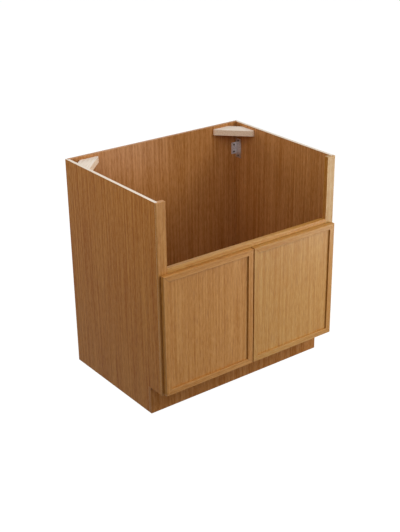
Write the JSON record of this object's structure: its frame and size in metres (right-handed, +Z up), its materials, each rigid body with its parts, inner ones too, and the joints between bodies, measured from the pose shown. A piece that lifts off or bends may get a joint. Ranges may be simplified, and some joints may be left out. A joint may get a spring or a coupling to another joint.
{
  "type": "sink base cabinet",
  "caption": "Farmhouse sink base cabinet in stained oak: open top, low front rail under the sink's apron, slim-framed doors on concealed hinges, raw corner blocks and a recessed toe kick.",
  "frame": {"origin": "centre of the bounding box's footprint, on the floor", "axes": "+Z up, +X to the right of someone facing the doors, +Y from the doors towards the wall"},
  "size_m": [0.8382, 0.6302, 0.8763],
  "materials": {
    "carcass_plywood": "stained oak veneer on plywood, satin varnish, raw pale top edges",
    "toe_board": "stained oak veneer, satin varnish",
    "face_frame": "stained solid oak, satin varnish",
    "door_frames": "stained solid oak, satin varnish",
    "door_panels": "stained oak veneer on board, satin varnish",
    "raw_plywood": "raw plywood",
    "zinc_steel": "zinc-plated sheet steel",
    "nickel_steel": "nickel-plated steel",
    "hinge_screws": "nickel-plated steel",
    "dark_screws": "black phosphated steel",
    "bumper_rubber": "clear soft polyurethane"
  },
  "bodies": {
    "carcass": {"left_side_panel": "carcass_plywood", "right_side_panel": "carcass_plywood", "back_panel": "carcass_plywood", "floor_panel": "carcass_plywood", "toe_board": "toe_board", "left_stile": "face_frame", "right_stile": "face_frame", "apron_rail": "face_frame", "bottom_rail": "face_frame", "left_corner_block": "raw_plywood", "left_angle_bracket": "zinc_steel", "left_bracket_side_screw_high": "dark_screws", "left_bracket_side_screw_low": "dark_screws", "left_bracket_back_screw_high": "dark_screws", "left_bracket_back_screw_low": "dark_screws", "right_corner_block": "raw_plywood", "right_angle_bracket": "zinc_steel", "right_bracket_side_screw_high": "dark_screws", "right_bracket_side_screw_low": "dark_screws", "right_bracket_back_screw_high": "dark_screws", "right_bracket_back_screw_low": "dark_screws", "left_upper_hinge_arm": "nickel_steel", "left_upper_hinge_screw_high": "hinge_screws", "left_upper_hinge_screw_low": "hinge_screws", "left_lower_hinge_arm": "nickel_steel", "left_lower_hinge_screw_high": "hinge_screws", "left_lower_hinge_screw_low": "hinge_screws", "right_upper_hinge_arm": "nickel_steel", "right_upper_hinge_screw_high": "hinge_screws", "right_upper_hinge_screw_low": "hinge_screws", "right_lower_hinge_arm": "nickel_steel", "right_lower_hinge_screw_high": "hinge_screws", "right_lower_hinge_screw_low": "hinge_screws"},
    "left_door": {"left_door_hinge_stile": "door_frames", "left_door_free_stile": "door_frames", "left_door_top_rail": "door_frames", "left_door_bottom_rail": "door_frames", "left_door_panel": "door_panels", "left_door_bumper_top": "bumper_rubber", "left_door_bumper_bottom": "bumper_rubber", "left_upper_hinge_cup": "nickel_steel", "left_lower_hinge_cup": "nickel_steel"},
    "left_outer_links": {"left_upper_hinge_outer_link": "nickel_steel", "left_lower_hinge_outer_link": "nickel_steel"},
    "left_inner_links": {"left_upper_hinge_inner_link": "nickel_steel", "left_lower_hinge_inner_link": "nickel_steel"},
    "right_door": {"right_door_hinge_stile": "door_frames", "right_door_free_stile": "door_frames", "right_door_top_rail": "door_frames", "right_door_bottom_rail": "door_frames", "right_door_panel": "door_panels", "right_door_bumper_top": "bumper_rubber", "right_door_bumper_bottom": "bumper_rubber", "right_upper_hinge_cup": "nickel_steel", "right_lower_hinge_cup": "nickel_steel"},
    "right_outer_links": {"right_upper_hinge_outer_link": "nickel_steel", "right_lower_hinge_outer_link": "nickel_steel"},
    "right_inner_links": {"right_upper_hinge_inner_link": "nickel_steel", "right_lower_hinge_inner_link": "nickel_steel"}
  },
  "joints": [
    {"name": "left_outer_links_swing", "type": "hinge", "parent": "carcass", "child": "left_outer_links", "pos_m": [-0.3769, -0.27668, 0.3612], "axis": [0, 0, 1], "range_deg": [0, 30]},
    {"name": "left_door_swing", "type": "hinge", "parent": "left_outer_links", "child": "left_door", "pos_m": [-0.4023, -0.29978, 0.3612], "axis": [0, 0, -1], "range_deg": [0, 130]},
    {"name": "left_inner_links_swing", "type": "hinge", "parent": "carcass", "child": "left_inner_links", "pos_m": [-0.3697, -0.29287, 0.3612], "axis": [0, 0, 1], "range_deg": [0, 32]},
    {"name": "right_outer_links_swing", "type": "hinge", "parent": "carcass", "child": "right_outer_links", "pos_m": [0.3769, -0.27668, 0.3612], "axis": [0, 0, -1], "range_deg": [0, 30]},
    {"name": "right_door_swing", "type": "hinge", "parent": "right_outer_links", "child": "right_door", "pos_m": [0.4023, -0.29978, 0.3612], "axis": [0, 0, 1], "range_deg": [0, 130]},
    {"name": "right_inner_links_swing", "type": "hinge", "parent": "carcass", "child": "right_inner_links", "pos_m": [0.3697, -0.29287, 0.3612], "axis": [0, 0, -1], "range_deg": [0, 32]}
  ],
  "couplings": [
    {"joint": "left_outer_links_swing", "follows": "left_door_swing", "ratio": 0.23077},
    {"joint": "left_inner_links_swing", "follows": "left_door_swing", "ratio": 0.24615},
    {"joint": "right_outer_links_swing", "follows": "right_door_swing", "ratio": 0.23077},
    {"joint": "right_inner_links_swing", "follows": "right_door_swing", "ratio": 0.24615}
  ]
}
